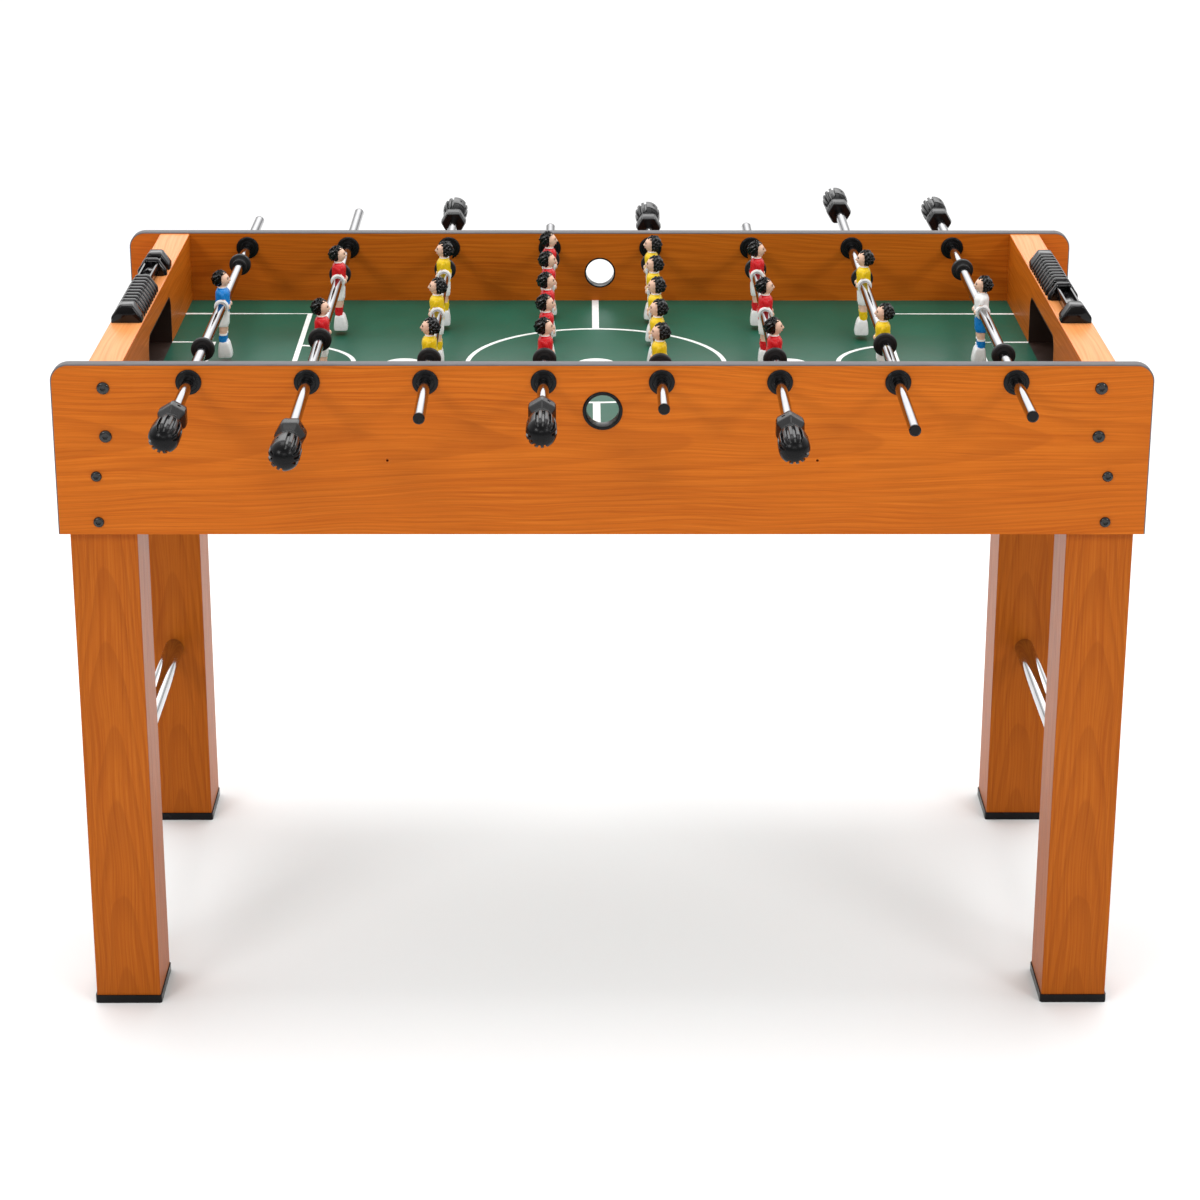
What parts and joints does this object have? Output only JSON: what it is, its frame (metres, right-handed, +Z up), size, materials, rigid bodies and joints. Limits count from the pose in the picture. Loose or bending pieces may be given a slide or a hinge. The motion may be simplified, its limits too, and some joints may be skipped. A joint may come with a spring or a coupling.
{
  "type": "foosball table",
  "caption": "Free-standing table football game with a wooden cabinet on square legs, sliding and turning player rods and score counters.",
  "frame": {"origin": "on the floor under the middle of the cabinet", "axes": "+Z up; +X along the cabinet's length, from the blue goalkeeper's end to the white goalkeeper's end; -Y is the front, where the blue and red rods have their handles"},
  "size_m": [1.21, 1.15, 0.812],
  "materials": {
    "cabinet_wood": "orange-brown wood-grain laminate, satin",
    "leg_wood": "orange-brown wood-grain laminate with upright grain, satin",
    "edge_strip": "grey-black soft edge strip",
    "field_board": "dark green printed board with white lines",
    "black_plastic": "black moulded plastic",
    "grip_plastic": "black textured plastic",
    "chrome_tube": "chrome-plated steel tube",
    "rod_chrome": "chrome-plated steel tube",
    "goal_plastic": "dark brown plastic",
    "bolt_black": "black oxide steel",
    "bead_plastic": "black moulded plastic",
    "bumper_rubber": "black rubber",
    "player_blue": "painted moulded plastic, blue shirt",
    "player_red": "painted moulded plastic, red shirt",
    "player_yellow": "painted moulded plastic, yellow shirt",
    "player_white": "painted moulded plastic, white shirt"
  },
  "bodies": {
    "table": {"side_panel_front": "cabinet_wood", "side_panel_back": "cabinet_wood", "edge_trims": "edge_strip", "end_board_left": "cabinet_wood", "end_board_right": "cabinet_wood", "end_aprons": "cabinet_wood", "playfield": "field_board", "legs_left": "leg_wood", "legs_right": "leg_wood", "foot_caps": "black_plastic", "stretchers": "chrome_tube", "goal_boxes": "goal_plastic", "rod_bearings": "black_plastic", "ball_entry_rings": "black_plastic", "bolts": "bolt_black", "score_rails": "black_plastic"},
    "score_stack_left": {"score_stack_left": "bead_plastic"},
    "score_bead_left": {"score_bead_left": "bead_plastic"},
    "score_stack_right": {"score_stack_right": "bead_plastic"},
    "score_bead_right": {"score_bead_right": "bead_plastic"},
    "rod_1_bumpers": {"rod_1_bumpers": "bumper_rubber"},
    "rod_1": {"rod_1_tube": "rod_chrome", "rod_1_players": "player_blue", "rod_1_grip": "grip_plastic", "rod_1_end_cap": "black_plastic"},
    "rod_2_bumpers": {"rod_2_bumpers": "bumper_rubber"},
    "rod_2": {"rod_2_tube": "rod_chrome", "rod_2_players": "player_red", "rod_2_grip": "grip_plastic", "rod_2_end_cap": "black_plastic"},
    "rod_3_bumpers": {"rod_3_bumpers": "bumper_rubber"},
    "rod_3": {"rod_3_tube": "rod_chrome", "rod_3_players": "player_yellow", "rod_3_grip": "grip_plastic", "rod_3_end_cap": "black_plastic"},
    "rod_4_bumpers": {"rod_4_bumpers": "bumper_rubber"},
    "rod_4": {"rod_4_tube": "rod_chrome", "rod_4_players": "player_red", "rod_4_grip": "grip_plastic", "rod_4_end_cap": "black_plastic"},
    "rod_5_bumpers": {"rod_5_bumpers": "bumper_rubber"},
    "rod_5": {"rod_5_tube": "rod_chrome", "rod_5_players": "player_yellow", "rod_5_grip": "grip_plastic", "rod_5_end_cap": "black_plastic"},
    "rod_6_bumpers": {"rod_6_bumpers": "bumper_rubber"},
    "rod_6": {"rod_6_tube": "rod_chrome", "rod_6_players": "player_red", "rod_6_grip": "grip_plastic", "rod_6_end_cap": "black_plastic"},
    "rod_7_bumpers": {"rod_7_bumpers": "bumper_rubber"},
    "rod_7": {"rod_7_tube": "rod_chrome", "rod_7_players": "player_yellow", "rod_7_grip": "grip_plastic", "rod_7_end_cap": "black_plastic"},
    "rod_8_bumpers": {"rod_8_bumpers": "bumper_rubber"},
    "rod_8": {"rod_8_tube": "rod_chrome", "rod_8_players": "player_white", "rod_8_grip": "grip_plastic", "rod_8_end_cap": "black_plastic"}
  },
  "joints": [
    {"name": "score_stack_left_slide", "type": "slide", "parent": "table", "child": "score_stack_left", "axis": [0, 1, 0], "range_m": [0, 0.066]},
    {"name": "score_bead_left_slide", "type": "slide", "parent": "table", "child": "score_bead_left", "axis": [0, 1, 0], "range_m": [-0.066, 0.0153]},
    {"name": "score_stack_right_slide", "type": "slide", "parent": "table", "child": "score_stack_right", "axis": [0, -1, 0], "range_m": [0, 0.007]},
    {"name": "score_bead_right_slide", "type": "slide", "parent": "table", "child": "score_bead_right", "axis": [0, -1, 0], "range_m": [-0.007, 0.0743]},
    {"name": "rod_1_slide", "type": "slide", "parent": "table", "child": "rod_1_bumpers", "axis": [0, 1, 0], "range_m": [-0.1065, 0.0785]},
    {"name": "rod_1_spin", "type": "hinge", "parent": "rod_1_bumpers", "child": "rod_1", "pos_m": [-0.45325, 0, 0.77], "axis": [0, 1, 0], "continuous": true},
    {"name": "rod_2_slide", "type": "slide", "parent": "table", "child": "rod_2_bumpers", "axis": [0, 1, 0], "range_m": [-0.1455, 0.1255]},
    {"name": "rod_2_spin", "type": "hinge", "parent": "rod_2_bumpers", "child": "rod_2", "pos_m": [-0.32375, 0, 0.77], "axis": [0, 1, 0], "continuous": true},
    {"name": "rod_3_slide", "type": "slide", "parent": "table", "child": "rod_3_bumpers", "axis": [0, 1, 0], "range_m": [-0.0645, 0.1025]},
    {"name": "rod_3_spin", "type": "hinge", "parent": "rod_3_bumpers", "child": "rod_3", "pos_m": [-0.19425, 0, 0.77], "axis": [0, 1, 0], "continuous": true},
    {"name": "rod_4_slide", "type": "slide", "parent": "table", "child": "rod_4_bumpers", "axis": [0, 1, 0], "range_m": [-0.0645, 0.0525]},
    {"name": "rod_4_spin", "type": "hinge", "parent": "rod_4_bumpers", "child": "rod_4", "pos_m": [-0.06475, 0, 0.77], "axis": [0, 1, 0], "continuous": true},
    {"name": "rod_5_slide", "type": "slide", "parent": "table", "child": "rod_5_bumpers", "axis": [0, 1, 0], "range_m": [-0.0435, 0.0735]},
    {"name": "rod_5_spin", "type": "hinge", "parent": "rod_5_bumpers", "child": "rod_5", "pos_m": [0.06475, 0, 0.77], "axis": [0, 1, 0], "continuous": true},
    {"name": "rod_6_slide", "type": "slide", "parent": "table", "child": "rod_6_bumpers", "axis": [0, 1, 0], "range_m": [-0.0655, 0.1015]},
    {"name": "rod_6_spin", "type": "hinge", "parent": "rod_6_bumpers", "child": "rod_6", "pos_m": [0.19425, 0, 0.77], "axis": [0, 1, 0], "continuous": true},
    {"name": "rod_7_slide", "type": "slide", "parent": "table", "child": "rod_7_bumpers", "axis": [0, 1, 0], "range_m": [-0.1255, 0.1455]},
    {"name": "rod_7_spin", "type": "hinge", "parent": "rod_7_bumpers", "child": "rod_7", "pos_m": [0.32375, 0, 0.77], "axis": [0, 1, 0], "continuous": true},
    {"name": "rod_8_slide", "type": "slide", "parent": "table", "child": "rod_8_bumpers", "axis": [0, 1, 0], "range_m": [-0.0825, 0.1025]},
    {"name": "rod_8_spin", "type": "hinge", "parent": "rod_8_bumpers", "child": "rod_8", "pos_m": [0.45325, 0, 0.77], "axis": [0, 1, 0], "continuous": true}
  ]
}
